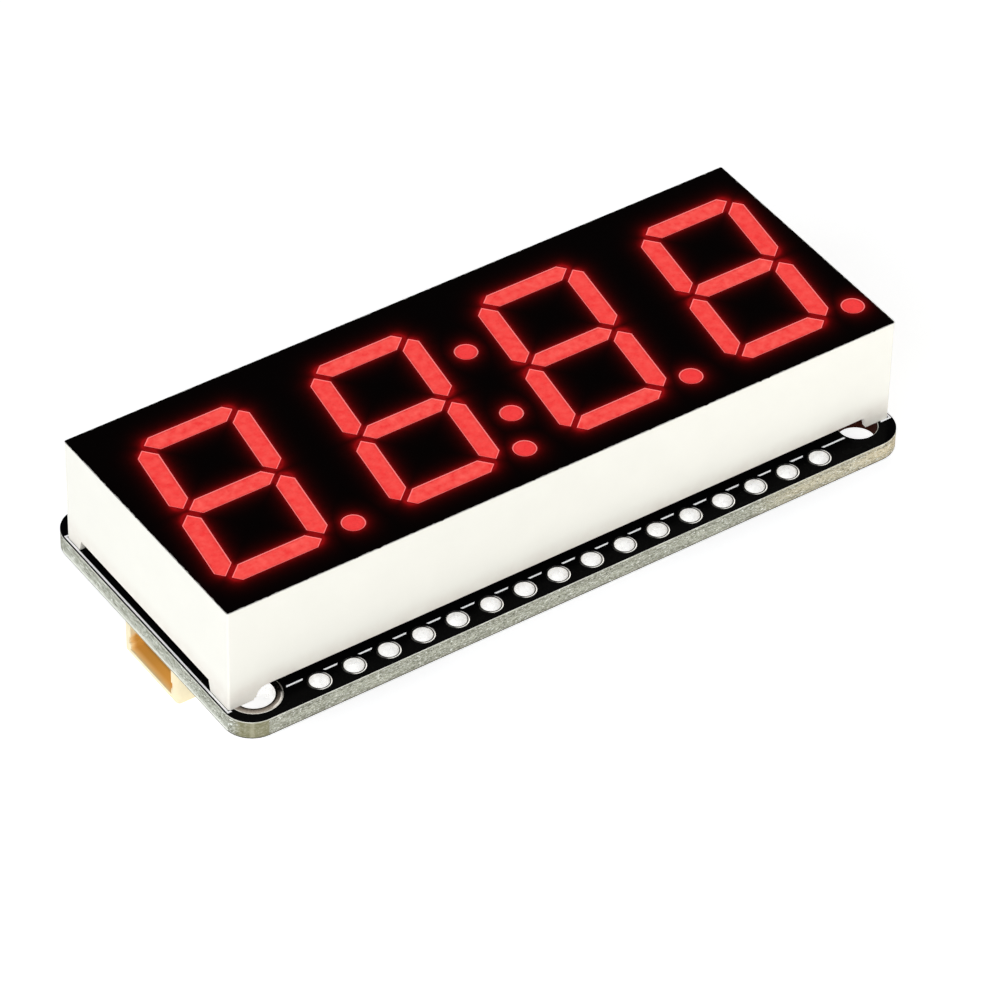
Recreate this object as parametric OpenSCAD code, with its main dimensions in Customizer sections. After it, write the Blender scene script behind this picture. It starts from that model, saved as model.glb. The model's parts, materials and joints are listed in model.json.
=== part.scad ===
// Four-digit seven segment display module: a moulded reflector display with a
// centre colon and four decimal points, soldered on a small driver board that
// carries two header rows, four mounting holes and a side-entry wire connector.
//
// X runs along the digits, Y up the digits, Z out of the lit face. The origin
// is under the middle of the board, at the lowest point of the wire connector.

/* [Display housing] */
// Length of the display housing along the row of digits
display_l = 50.3; // [49:0.1:50.5]
// Width of the display housing across the digits
display_w = 19.0; // [18.4:0.1:19]
// Height from the board to the lit face
display_h = 8.0; // [7:0.1:10]
// How far the display sits behind the board's middle line, or in front if negative
display_shift = -0.04; // [-0.1:0.02:0.1]
// Thickness of the side walls
wall = 1.0; // [0.8:0.05:1.2]
// Height of the feet that lift the walls off the board
foot_h = 0.85; // [0.6:0.05:1.2]
// Thickness of the feet, which stand under the outer side of the walls
foot_t = 0.35; // [0.3:0.05:0.7]
// Length of each foot along the long walls
foot_x = 2.0; // [1.6:0.1:3]
// Length of the two front feet along the end walls
foot_front = 2.3; // [1.6:0.1:3]
// Length of the two rear feet along the end walls
foot_rear = 1.7; // [1.6:0.1:3]
// How much wider a gap between two feet is at the board than at its top
foot_draft = 0.2; // [0:0.05:0.4]
// Radius where the left feet run into the long walls
foot_fillet = 0.7; // [0.3:0.1:0.8]
// Radius of the upright corners of the housing
corner_r = 0.15; // [0.05:0.05:0.4]

/* [Lit face] */
// Thickness of the black ink on the face
ink_t = 0.05; // [0.03:0.01:0.1]
// Width of the white rim that the ink leaves round each segment
ink_rim = 0.07; // [0.03:0.01:0.12]
// Distance of the outer digits' middles from the ends of the display
digit_end = 6.1; // [6:0.05:6.6]
// Distance of a digit's top and foot from the long sides of the display
digit_edge = 2.4; // [2.3:0.05:3]
// Room between two digits, before they are slanted, for a dot
digit_room = 4.64; // [4.6:0.02:5.2]
// Slant of the digits
slant = 8.2; // [0:0.2:10]
// Width of the segments
stroke = 1.26; // [1:0.02:1.4]
// Gap between one segment and the next
segment_gap = 0.55; // [0.4:0.05:0.7]
// Cut across each outer corner of a digit
corner_cut = 1.36; // [1:0.02:1.6]
// Distance of the digits from the middle of the face, along the row
digits_x = 0.12; // [-0.2:0.02:0.2]
// Distance of the digits from the middle of the face, up the digits
digits_y = -0.22; // [-0.4:0.02:0.2]
// Diameter of the decimal points and of the colon dots
dot_d = 1.42; // [1.2:0.02:1.6]
// Distance from a digit's right side to the middle of its decimal point
point_gap = 0.66; // [0.5:0.02:0.8]
// Height of a decimal point's middle above the foot of its digit
point_rise = 0.65; // [0.4:0.05:1]

/* [Inside the display] */
// How much each light well narrows on each side towards its lamp
well_taper = 0.25; // [0.1:0.05:0.3]
// Thickness of the lamp board
lamp_board_t = 0.8; // [0.6:0.1:1.2]
// Play between the lamp board and the walls
lamp_board_play = 0.1; // [0.05:0.05:0.2]
// Thickness of the resin behind the lamp board
potting_t = 1.6; // [1:0.1:2]
// How far the resin stays inside the edge of the walls
potting_dip = 0.1; // [0.05:0.05:0.3]
// Side of a lamp chip
chip_w = 0.3; // [0.2:0.02:0.4]
// Height of a lamp chip
chip_h = 0.2; // [0.1:0.02:0.3]

/* [Display pins] */
// Diameter of a pin
pin_d = 0.5; // [0.4:0.02:0.6]
// Distance from one pin to the next
pin_pitch = 2.54; // [2.4:0.01:2.6]
// Number of pins in each row
pin_count = 7; // [5:1:8]
// Distance of the pins from the long sides of the display
pin_edge = 1.88; // [1.8:0.02:2.2]
// How far the pins reach through under the board
pin_reach = 1.5; // [1:0.1:2]
// Diameter of the plated hole round a pin
pin_bore = 0.9; // [0.8:0.05:1.1]
// Diameter of the pad round a pin
pin_pad = 1.7; // [1.4:0.05:1.9]
// Height of the solder fillet on a pin
solder_h = 1.05; // [0.7:0.05:1.4]

/* [Board] */
// How far the board reaches past the display at each end
board_end = 0.25; // [0.25:0.05:3]
// How far the board reaches past the display at each long side
board_side = 1.93; // [1.9:0.01:3]
// Radius of the board's corners
board_r = 2.0; // [1.5:0.1:2]
// Thickness of the bare laminate
core_t = 1.3; // [0.8:0.1:2]
// Thickness of the solder mask and of the pads in it
mask_t = 0.05; // [0.03:0.01:0.08]
// Thickness of the plating in the holes
plating = 0.05; // [0.03:0.01:0.06]
// Diameter of a mounting hole
mount_d = 2.65; // [2.2:0.05:2.9]
// Distance of the mounting holes from the board's edges
mount_inset = 2.37; // [2.3:0.01:2.6]
// Width of the plated ring round the two left mounting holes
mount_ring = 0.5; // [0.3:0.01:0.52]
// Width of bare laminate round the two right mounting holes
mask_pullback = 0.05; // [0.04:0.01:0.2]

/* [Header rows] */
// Distance from one header hole to the next
header_pitch = 2.54; // [2.4:0.01:2.54]
// Mean distance of the header rows from the board's edges
header_inset = 1.27; // [1.2:0.01:1.3]
// How far both header rows sit in front of the board's middle line
header_shift = 0.12; // [0:0.02:0.16]
// Least distance along the board from a header hole to a mounting hole
header_clear = 3.5; // [3.2:0.1:6]
// How many holes fewer the rear row has, at its left end
rear_fewer = 4; // [0:1:8]
// Diameter of a header hole
header_bore = 1.3; // [1.15:0.05:1.35]
// Diameter of the pad round a header hole
header_pad = 1.6; // [1.55:0.05:1.9]

/* [White print] */
// Thickness of the print
print_t = 0.02; // [0.01:0.01:0.04]
// Width of a printed line
line_w = 0.12; // [0.1:0.01:0.16]
// Gap between the display's end walls and the printed outline
outline_x = 0.04; // [0.02:0.01:0.06]
// Gap between the display's long walls and the printed outline
outline_y = 0.02; // [0.02:0.01:0.2]
// Diameter of the printed mark beside lead one of the driver chip
mark_d = 0.6; // [0.4:0.1:0.8]
// Clear space that the print leaves round pads and bare holes
print_gap = 0.24; // [0.22:0.01:0.3]

/* [Wire connector] */
// Distance of the outer contacts from the sides of the shell
contact_side = 1.68; // [1.5:0.02:2]
// Height of the shell
shell_h = 3.35; // [2.9:0.05:3.6]
// Depth of the shell
shell_l = 4.25; // [3.8:0.05:5]
// Distance of the mouth from the board's left edge
mouth_inset = 0.45; // [0.2:0.05:1]
// Thickness of the shell's side walls
shell_side = 0.78; // [0.5:0.02:0.8]
// Thickness of the shell's wall that lies on the board
shell_root = 0.9; // [0.5:0.05:0.9]
// Thickness of the shell's outer flat wall
shell_skin = 0.45; // [0.35:0.05:0.5]
// Thickness of the shell's back wall
shell_back = 1.05; // [0.8:0.05:1.2]
// Distance from one contact to the next
contact_pitch = 1.0; // [0.8:0.05:1.1]
// Width of a contact
contact_w = 0.3; // [0.2:0.05:0.35]
// Thickness of a contact
contact_t = 0.2; // [0.15:0.05:0.25]
// Distance of the contacts' tips from the mouth
contact_inset = 0.9; // [0.6:0.1:1.2]
// Number of contacts
contact_count = 4; // [2:1:4]
// Length of the contacts' tails behind the shell
tail_l = 0.8; // [0.6:0.1:1]
// Width of the key slots beside the mouth
key_w = 0.3; // [0.2:0.05:0.6]
// Width of the solder tab at each side of the shell
tab_w = 0.7; // [0.5:0.05:0.9]
// Length of the solder tabs
tab_l = 1.6; // [1.2:0.1:2]

/* [Driver chip] */
// Distance of the outer leads from the ends of the chip's body
lead_end = 0.7; // [0.4:0.05:1]
// Room between the chip's pads and the display's pads
chip_room = 1.32; // [1:0.02:2]
// Thickness of the chip's body
chip_body_t = 2.3; // [1.6:0.1:2.4]
// Air under the chip's body
chip_air = 0.1; // [0.05:0.05:0.2]
// Distance of the chip's middle from the board's middle
chip_x = 3.0; // [0:0.5:6]
// Number of leads on each side of the chip
lead_count = 14; // [8:1:14]
// Distance from one lead to the next
lead_pitch = 1.27; // [1.2:0.01:1.27]
// Width of a lead
lead_w = 0.42; // [0.3:0.02:0.5]
// Thickness of a lead
lead_t = 0.25; // [0.2:0.01:0.3]
// Reach of the leads from the chip's side
lead_reach = 1.4; // [1.2:0.05:1.5]
// Length of a lead's foot on its pad
lead_foot = 0.7; // [0.6:0.05:0.8]
// Draft of the body's sides above and below the leads
chip_draft = 0.2; // [0.1:0.05:0.3]
// Diameter of the dimple by lead one
dimple_d = 1.0; // [0.6:0.1:1.4]
// Depth of the dimple
dimple_deep = 0.1; // [0.05:0.05:0.2]

/* [Small parts] */
// Length of a chip resistor or capacitor
passive_l = 1.6; // [1.4:0.1:2]
// Width of a chip resistor or capacitor
passive_w = 0.8; // [0.6:0.05:1.2]
// Height of a chip capacitor
capacitor_h = 0.8; // [0.5:0.05:1.2]
// Height of a chip resistor
resistor_h = 0.45; // [0.35:0.05:0.6]
// Length of the metal end on a chip resistor or capacitor
passive_end = 0.3; // [0.2:0.05:0.4]
// How far a pad reaches out from under the end of the part on it
land_lip = 0.3; // [0.2:0.05:0.4]
// How much wider a pad is than the lead on it, at each side
land_side = 0.1; // [0.05:0.05:0.15]
// Distance of the capacitors from the end of the driver chip
capacitor_away = 3.0; // [2:0.5:4]
// Distance of the capacitors from the board's middle line
capacitor_side = 3.0; // [2:0.5:6]
// Distance of the resistors from the back of the connector
resistor_away = 4.0; // [2:0.5:6]
// Distance of the resistors from the board's middle line
resistor_side = 2.5; // [2:0.5:6]
// Distance of the solder jumpers from the end of the driver chip
jumper_away = 6.5; // [5:0.5:7]
// Side of one half of a solder jumper
jumper_w = 1.0; // [0.8:0.05:1.2]
// Gap between the halves of a solder jumper
jumper_gap = 0.25; // [0.2:0.05:0.4]
// Distance from one solder jumper to the next
jumper_pitch = 2.0; // [1.6:0.1:2.4]

/* [Hidden] */
$fn = 48;
// Overshoot of a cut past the face it opens
cut = 1;

// Heights
board_t = core_t + 2 * mask_t;
board_z = shell_h;
core_z = board_z + mask_t;
deck_z = board_z + board_t;
face_z = deck_z + display_h;
well_top = face_z - ink_t;
potting_z = deck_z + foot_h + potting_dip;
lamp_board_z = potting_z + potting_t;
well_z = lamp_board_z + lamp_board_t;

// Sizes that follow the display
digit_pitch = (display_l - 2 * digit_end) / 3;
digit_w = digit_pitch - digit_room;
digit_h = display_w - 2 * digit_edge;
colon_rise = (digit_h - stroke) / 4;
pin_rows = display_w - 2 * pin_edge;
board_l = display_l + 2 * board_end;
board_w = display_w + 2 * board_side;

// Sizes that follow the contacts and the leads
shell_w = (contact_count - 1) * contact_pitch + 2 * contact_side;
chip_body_l = (lead_count - 1) * lead_pitch + 2 * lead_end;
chip_body_w = pin_rows - pin_pad - 2 * (lead_reach + land_lip + chip_room);

// Places on the face
digit_x = [for (i = [0:3]) digits_x + (i - 1.5) * digit_pitch];
shear = tan(slant);
dot_r = dot_d / 2;

// Lines of one upright digit
half_w = digit_w / 2;
half_h = digit_h / 2;
inner_w = half_w - stroke;
inner_h = half_h - stroke;
mitre = inner_h - inner_w;
side_x = half_w - stroke / 2;
bar_tip = side_x - segment_gap * sqrt(1 / 2);
side_tip = segment_gap * sqrt(1 / 2);

// Places on the board
pin_y = pin_rows / 2;
header_y = board_w / 2 - header_inset;
mount_x = board_l / 2 - mount_inset;
mount_y = board_w / 2 - mount_inset;
front_count = floor(2 * (mount_x - header_clear) / header_pitch) + 1;
rear_count = front_count - rear_fewer;
row_end = header_pitch * (front_count - 1) / 2;
shell_x = -board_l / 2 + mouth_inset;
shell_end = shell_x + shell_l;
room_h = shell_h - shell_root - shell_skin;
contact_z = shell_root + (room_h - contact_t) / 2;
land_w = lead_w + 2 * land_side;
land_l = lead_foot + 2 * land_lip;
lead_y = chip_body_w / 2 + lead_reach - lead_foot / 2;
chip_end = chip_x + chip_body_l / 2;
// Middles of the chip capacitors and resistors, across the board's length
capacitor_at = [for (s = [-1, 1]) [chip_end + capacitor_away, s * capacitor_side]];
resistor_at = [for (s = [-1, 1]) [shell_end + resistor_away, s * resistor_side]];
jumper_x = chip_end + jumper_away;

// A point of an upright digit, moved onto the slanted digit
function lean(p) = [p[0] + shear * p[1], p[1]];
// The same outline on the other side of the upright or the level middle line
function flip_x(s) = [for (i = [len(s) - 1:-1:0]) [-s[i][0], s[i][1]]];
function flip_y(s) = [for (i = [len(s) - 1:-1:0]) [s[i][0], -s[i][1]]];

// Outline of the top segment, grown by e on every side
function top_bar(e) =
    let (q = (segment_gap / 2 - e) * sqrt(2),
         s = half_w + half_h - corner_cut + e * sqrt(2),
         top = half_h + e, low = inner_h - e,
         tip = (s - mitre - q) / 2)
    [[mitre + q - low, low], [low - mitre - q, low], [tip, s - tip],
     [s - top, top], [top - s, top], [-tip, s - tip]];

// Outline of the upper right segment, grown by e on every side
function side_bar(e) =
    let (q = (segment_gap / 2 - e) * sqrt(2),
         s = half_w + half_h - corner_cut + e * sqrt(2),
         out = half_w + e, in = inner_w - e, low = side_tip - e * sqrt(2),
         tip = (s - mitre + q) / 2)
    [[side_x, low], [out, low + out - side_x], [out, s - out],
     [tip, s - tip], [in, in + mitre - q], [in, low + side_x - in]];

// Outline of the middle segment, grown by e on every side
function middle_bar(e) =
    let (h = stroke / 2 + e, tip = bar_tip + e * sqrt(2))
    [[h - tip, -h], [tip - h, -h], [tip, 0], [tip - h, h], [h - tip, h], [-tip, 0]];

// The seven slanted outlines of one digit
function segments(e) =
    let (a = top_bar(e), b = side_bar(e))
    [for (s = [a, b, flip_y(b), flip_y(a), flip_y(flip_x(b)), flip_x(b), middle_bar(e)])
        [for (p = s) lean(p)]];

function middle(s) = [for (k = [0, 1]) (min([for (p = s) p[k]]) + max([for (p = s) p[k]])) / 2];

function box_outline(l, w) = [[-l / 2, -w / 2], [l / 2, -w / 2], [l / 2, w / 2], [-l / 2, w / 2]];

// A solid with flat sides between a lower and an upper outline
module loft(low, high, h) {
    n = len(low);
    polyhedron(
        points = concat([for (p = low) [p[0], p[1], 0]], [for (p = high) [p[0], p[1], h]]),
        faces = concat([[for (i = [0:n - 1]) i], [for (i = [0:n - 1]) 2 * n - 1 - i]],
            [for (i = [0:n - 1]) [i, i + n, (i + 1) % n + n, (i + 1) % n]]));
}

// Rounded rectangle with its middle at the origin
module rounded(l, w, r) {
    square([l - 2 * r, w], center = true);
    square([l, w - 2 * r], center = true);
    for (x = [-1, 1], y = [-1, 1])
        translate([x * (l / 2 - r), y * (w / 2 - r)])
            circle(r);
}

// Puts its children on the display's middle line
module on_display() {
    translate([0, display_shift, 0])
        children();
}

// Puts its children at the middle of a digit
module at_digit(i) {
    translate([digit_x[i], display_shift + digits_y, 0])
        children();
}

// Puts its children at each decimal point
module at_points() {
    for (i = [0:3])
        at_digit(i)
            translate([half_w + point_gap, point_rise - half_h, 0])
                children();
}

// Puts its children at both colon dots
module at_colon() {
    for (s = [-1, 1])
        translate([digits_x + shear * s * colon_rise, display_shift + digits_y + s * colon_rise, 0])
            children();
}

// Puts its children at the pins of one row
module at_pins(side) {
    for (i = [0:pin_count - 1])
        translate([(i - (pin_count - 1) / 2) * pin_pitch, display_shift + side * pin_y, 0])
            children();
}

// Puts its children at the holes of the front and of the rear header row
module at_front_header() {
    for (i = [0:front_count - 1])
        translate([-row_end + i * header_pitch, -header_shift - header_y, 0])
            children();
}

module at_rear_header() {
    for (i = [0:rear_count - 1])
        translate([row_end - i * header_pitch, header_y - header_shift, 0])
            children();
}

// Puts its children at the mounting holes of the left or the right end
module at_mounts(side) {
    for (y = [-1, 1])
        translate([side * mount_x, y * mount_y, 0])
            children();
}

// Turns its children over onto the board's underside
module underside() {
    translate([0, 0, board_z])
        mirror([0, 0, 1])
            children();
}

// Tapered light well under one segment outline, or the resin cast in it
module segment_well(i, k) {
    at_digit(i)
        translate([0, 0, well_z])
            loft(segments(-well_taper)[k], segments(0)[k], well_top - well_z);
}

module dot_well() {
    translate([0, 0, well_z])
        cylinder(h = well_top - well_z, r1 = dot_r - well_taper, r2 = dot_r);
}

// Outline of the gap between two feet, as wide as len at its top
module foot_gap(from, to, fillet) {
    difference() {
        polygon([[from - foot_draft, -cut], [to + foot_draft, -cut], [to + foot_draft, 0],
            [to, foot_h], [from, foot_h], [from - foot_draft, 0]]);
        if (fillet > 0)
            difference() {
                translate([from - foot_draft, foot_h - fillet])
                    square([fillet + foot_draft, fillet + cut]);
                translate([from + fillet, foot_h - fillet])
                    circle(fillet);
                translate([from + fillet, foot_h - fillet])
                    square([fillet, fillet]);
            }
    }
}

// Moulded white case: side walls on four feet and a block with the light wells
module housing() {
    half_l = display_l / 2;
    half_d = display_w / 2;
    color([0.96, 0.96, 0.93])
    difference() {
        on_display()
            difference() {
                translate([0, 0, deck_z])
                    linear_extrude(display_h - ink_t)
                        rounded(display_l, display_w, corner_r);
                translate([wall - half_l, wall - half_d, deck_z - cut])
                    cube([display_l - 2 * wall, display_w - 2 * wall, well_z - deck_z + cut]);
                translate([foot_t - half_l, foot_t - half_d, deck_z - cut])
                    cube([display_l - 2 * foot_t, display_w - 2 * foot_t, foot_h + cut]);
                translate([0, half_d + cut, deck_z])
                    rotate([90, 0, 0])
                        linear_extrude(display_w + 2 * cut)
                            foot_gap(foot_x - half_l, half_l - foot_x, foot_fillet);
                translate([-half_l - cut, 0, deck_z])
                    rotate([90, 0, 90])
                        linear_extrude(display_l + 2 * cut)
                            foot_gap(foot_front - half_d, half_d - foot_rear, 0);
            }
        for (i = [0:3], k = [0:6])
            segment_well(i, k);
        at_points()
            dot_well();
        at_colon()
            dot_well();
    }
}

// Black ink printed on the face, open at every segment and dot
module face_ink() {
    color([0.05, 0.04, 0.04])
    translate([0, 0, well_top])
        linear_extrude(ink_t)
            difference() {
                on_display()
                    rounded(display_l, display_w, corner_r);
                for (i = [0:3], s = segments(ink_rim))
                    at_digit(i)
                        polygon(s);
                at_points()
                    circle(dot_r + ink_rim);
                at_colon()
                    circle(dot_r + ink_rim);
            }
}

// The seven resin castings that fill the wells of one digit, each over its chip
module digit(i) {
    color([0.98, 0.25, 0.24])
    for (k = [0:6])
        difference() {
            segment_well(i, k);
            at_digit(i)
                translate(middle(segments(0)[k]))
                    lamp_chip();
        }
}

module decimal_points() {
    color([0.98, 0.25, 0.24])
    at_points()
        difference() {
            dot_well();
            lamp_chip();
        }
}

module colon_dots() {
    color([0.98, 0.25, 0.24])
    at_colon()
        difference() {
            dot_well();
            lamp_chip();
        }
}

// One lamp chip, standing on the lamp board
module lamp_chip() {
    translate([-chip_w / 2, -chip_w / 2, well_z])
        cube([chip_w, chip_w, chip_h]);
}

module lamp_chips() {
    color([0.85, 0.75, 0.35])
    {
        for (i = [0:3], s = segments(0))
            at_digit(i)
                translate(middle(s))
                    lamp_chip();
        at_points()
            lamp_chip();
        at_colon()
            lamp_chip();
    }
}

// One straight pin from the lamp board down through the driver board
module pin() {
    translate([0, 0, board_z - pin_reach])
        cylinder(h = well_z - board_z + pin_reach, d = pin_d);
}

module pins(side) {
    color([0.82, 0.82, 0.8])
    at_pins(side)
        pin();
}

// Board behind the light wells that carries the lamp chips
module lamp_board() {
    color([0.8, 0.78, 0.6])
    difference() {
        on_display()
            translate([0, 0, lamp_board_z + lamp_board_t / 2])
                cube([display_l - 2 * (wall + lamp_board_play),
                    display_w - 2 * (wall + lamp_board_play), lamp_board_t], center = true);
        for (side = [-1, 1])
            at_pins(side)
                pin();
    }
}

// Resin that closes the back of the housing round the pins
module potting() {
    color([0.9, 0.88, 0.78])
    difference() {
        on_display()
            translate([0, 0, potting_z + potting_t / 2])
                cube([display_l - 2 * wall, display_w - 2 * wall, potting_t], center = true);
        for (side = [-1, 1])
            at_pins(side)
                pin();
    }
}

// Outline of the board
module board_outline() {
    rounded(board_l, board_w, board_r);
}

// Openings for the plated parts, as wide in the laminate as extra says
module plated_openings(header_d, display_d, mounting_d) {
    at_front_header()
        circle(d = header_d);
    at_rear_header()
        circle(d = header_d);
    for (side = [-1, 1])
        at_pins(side)
            circle(d = display_d);
    at_mounts(-1)
        circle(d = mounting_d);
}

// Glass fibre laminate of the board
module board_core() {
    color([0.72, 0.71, 0.6])
    translate([0, 0, core_z])
        linear_extrude(core_t)
            difference() {
                board_outline();
                plated_openings(header_bore + 2 * plating, pin_bore + 2 * plating, mount_d + 2 * plating);
                at_mounts(1)
                    circle(d = mount_d);
            }
}

// One face of solder mask, open at the pads and holes
module mask_sheet() {
    difference() {
        board_outline();
        plated_openings(header_pad, pin_pad, mount_d + 2 * mount_ring);
        at_mounts(1)
            circle(d = mount_d + 2 * mask_pullback);
    }
}

module mask_top() {
    color([0.04, 0.04, 0.05])
    translate([0, 0, deck_z - mask_t])
        linear_extrude(mask_t)
            mask_sheet();
}

module mask_bottom() {
    color([0.04, 0.04, 0.05])
    translate([0, 0, board_z])
        linear_extrude(mask_t)
            difference() {
                mask_sheet();
                land_outlines();
            }
}

// What the print keeps clear of on both faces
module print_clearance() {
    plated_openings(header_pad + 2 * print_gap, pin_pad + 2 * print_gap,
        mount_d + 2 * (mount_ring + print_gap));
    at_mounts(1)
        circle(d = mount_d + 2 * print_gap);
}

// A rectangle drawn as a line
module line_frame(l, w) {
    difference() {
        square([l + line_w, w + line_w], center = true);
        square([l - line_w, w - line_w], center = true);
    }
}

// Printed outline round the display's feet
module print_top() {
    color("white")
    translate([0, 0, deck_z])
        linear_extrude(print_t)
            difference() {
                on_display()
                    line_frame(display_l + 2 * outline_x + line_w, display_w + 2 * outline_y + line_w);
                print_clearance();
            }
}

// Printed outlines beside the parts on the underside, with a dot at lead one
module print_bottom() {
    color("white")
    underside()
        linear_extrude(print_t) {
            for (x = [-1, 1])
                translate([chip_x + x * (chip_body_l / 2 + 2 * line_w), 0])
                    square([line_w, chip_body_w], center = true);
            translate([chip_x - chip_body_l / 2 - mark_d, lead_y])
                circle(d = mark_d);
            for (p = capacitor_at)
                translate(p)
                    rotate(90)
                        line_frame(passive_l + 4 * land_lip, passive_w + 2 * land_lip);
        }
}

// Plated hole with a flat pad on both faces of the board
module plated_hole(bore_d, pad_d) {
    bore = bore_d / 2;
    pad = pad_d / 2;
    translate([0, 0, board_z])
        rotate_extrude()
            polygon([[bore, 0], [pad, 0], [pad, mask_t], [bore + plating, mask_t],
                [bore + plating, board_t - mask_t], [pad, board_t - mask_t],
                [pad, board_t], [bore, board_t]]);
}

module front_header_pads() {
    color([0.86, 0.85, 0.8])
    at_front_header()
        plated_hole(header_bore, header_pad);
}

module rear_header_pads() {
    color([0.86, 0.85, 0.8])
    at_rear_header()
        plated_hole(header_bore, header_pad);
}

module mounting_rings() {
    color([0.86, 0.85, 0.8])
    at_mounts(-1)
        plated_hole(mount_d, mount_d + 2 * mount_ring);
}

module display_pads() {
    color([0.86, 0.85, 0.8])
    for (side = [-1, 1])
        at_pins(side)
            plated_hole(pin_bore, pin_pad);
}

// Solder round one pin: it fills the plated hole and rises in a hollow cone
module solder_joint() {
    steps = 6;
    foot = pin_pad / 2;
    neck = pin_d / 2;
    rise = [for (i = [0:steps]) let (a = 90 * i / steps)
        [foot - (foot - neck) * sin(a), -solder_h * (1 - cos(a))]];
    translate([0, 0, board_z])
        rotate_extrude()
            polygon(concat(rise, [[neck, board_t], [pin_bore / 2, board_t], [pin_bore / 2, 0]]));
}

module display_solder() {
    color([0.78, 0.78, 0.76])
    for (side = [-1, 1])
        at_pins(side)
            solder_joint();
}

// Puts its children at each contact, and at both tabs, of the wire connector
module at_contacts() {
    for (i = [0:contact_count - 1])
        translate([0, (i - (contact_count - 1) / 2) * contact_pitch, 0])
            children();
}

module at_tabs() {
    for (s = [-1, 1])
        translate([shell_x + shell_l / 2, s * (shell_w + tab_w) / 2, 0])
            children();
}

// Puts its children at each lead of the driver chip, pointing away from it
module at_leads() {
    for (s = [0, 1], i = [0:lead_count - 1])
        translate([chip_x + (i - (lead_count - 1) / 2) * lead_pitch, 0, 0])
            rotate(180 * s)
                children();
}

// Outlines of the flat pads on the underside
module land_outlines() {
    at_leads()
        translate([0, lead_y])
            square([land_w, land_l], center = true);
    at_contacts()
        translate([shell_end + tail_l / 2, 0])
            square([tail_l + 2 * land_lip, contact_w + 2 * land_side], center = true);
    at_tabs()
        square([tab_l + 2 * land_lip, tab_w + land_lip], center = true);
    for (p = concat(capacitor_at, resistor_at), s = [-1, 1])
        translate([p[0], p[1] + s * (passive_l - passive_end) / 2])
            square([passive_w, passive_end + 2 * land_lip], center = true);
    for (i = [-1:1], s = [-1, 1])
        translate([jumper_x + s * (jumper_w + jumper_gap) / 2, i * jumper_pitch])
            square([jumper_w, jumper_w], center = true);
}

module surface_pads() {
    color([0.86, 0.85, 0.8])
    translate([0, 0, board_z])
        linear_extrude(mask_t)
            land_outlines();
}

// Connector shell: a box under the board, open at the board's left edge
module connector_shell() {
    room_w = shell_w - 2 * shell_side;
    room_l = shell_l - shell_back;
    color([0.95, 0.89, 0.74])
    underside()
        difference() {
            translate([shell_x, -shell_w / 2, 0])
                cube([shell_l, shell_w, shell_h]);
            translate([shell_x - cut, -room_w / 2, shell_root])
                cube([room_l + cut, room_w, room_h]);
            for (s = [-1, 1])
                translate([shell_x - cut, s * room_w / 2 - key_w / 2, shell_root + room_h / 2])
                    cube([room_l / 2 + cut, key_w, room_h / 4]);
            at_contacts()
                contact_bar(cut);
        }
}

// Straight stretch of a contact, from its tip through the shell's back wall and so far past it
module contact_bar(past = 0) {
    translate([shell_x + contact_inset, -contact_w / 2, contact_z])
        cube([shell_l - contact_inset + past, contact_w, contact_t]);
}

// Contacts with tails that drop from the shell's back to their pads
module connector_contacts() {
    color([0.8, 0.76, 0.6])
    underside()
        at_contacts() {
            contact_bar();
            translate([shell_end, contact_w / 2, 0])
                rotate([90, 0, 0])
                    linear_extrude(contact_w)
                        polygon([[0, contact_z + contact_t], [contact_t, contact_z + contact_t],
                            [2 * contact_t, contact_t], [tail_l, contact_t], [tail_l, 0],
                            [contact_t, 0], [contact_t / 2, contact_z], [0, contact_z]]);
        }
}

// Flat tabs that solder the shell's sides to the board
module connector_tabs() {
    color([0.8, 0.8, 0.78])
    underside()
        at_tabs()
            translate([-tab_l / 2, -tab_w / 2, 0])
                cube([tab_l, tab_w, contact_t]);
}

// Driver chip's body, drafted on both halves, with a dimple by lead one
module driver_chip() {
    mid = chip_body_t / 2;
    dimple = chip_draft + dimple_d;
    wide = box_outline(chip_body_l, chip_body_w);
    slim = box_outline(chip_body_l - 2 * chip_draft, chip_body_w - 2 * chip_draft);
    color([0.1, 0.1, 0.1])
    underside()
        translate([chip_x, 0, chip_air])
            difference() {
                union() {
                    loft(slim, wide, mid);
                    translate([0, 0, mid])
                        loft(wide, slim, mid);
                }
                translate([dimple - chip_body_l / 2, chip_body_w / 2 - dimple, chip_body_t - dimple_deep])
                    cylinder(h = dimple_deep + cut, d = dimple_d);
            }
}

// One gull-wing lead, from the chip's side down to its pad
module lead() {
    side = chip_body_w / 2;
    mid = chip_air + chip_body_t / 2;
    heel = lead_reach - lead_foot;
    translate([-lead_w / 2, side, 0])
        rotate([90, 0, 90])
            linear_extrude(lead_w)
                polygon([[0, mid - lead_t / 2], [heel - lead_t, mid - lead_t / 2],
                    [heel - lead_t / 2, lead_t / 2], [heel, 0], [lead_reach, 0],
                    [lead_reach, lead_t], [heel + lead_t / 2, lead_t],
                    [heel, mid + lead_t / 2], [0, mid + lead_t / 2]]);
}

module driver_leads() {
    color([0.8, 0.8, 0.78])
    underside()
        at_leads()
            lead();
}

// Bodies of the chip resistors or capacitors, without their ends
module passive_bodies(places, h) {
    underside()
        for (p = places)
            translate([p[0], p[1], h / 2])
                cube([passive_w, passive_l - 2 * passive_end, h], center = true);
}

// Metal ends of the chip resistors or capacitors
module passive_ends(places, h) {
    underside()
        for (p = places, s = [-1, 1])
            translate([p[0], p[1] + s * (passive_l - passive_end) / 2, h / 2])
                cube([passive_w, passive_end, h], center = true);
}

module capacitors() {
    color([0.66, 0.55, 0.4])
    passive_bodies(capacitor_at, capacitor_h);
}

module capacitor_ends() {
    color([0.8, 0.8, 0.78])
    passive_ends(capacitor_at, capacitor_h);
}

module resistors() {
    color([0.08, 0.08, 0.08])
    passive_bodies(resistor_at, resistor_h);
}

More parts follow.
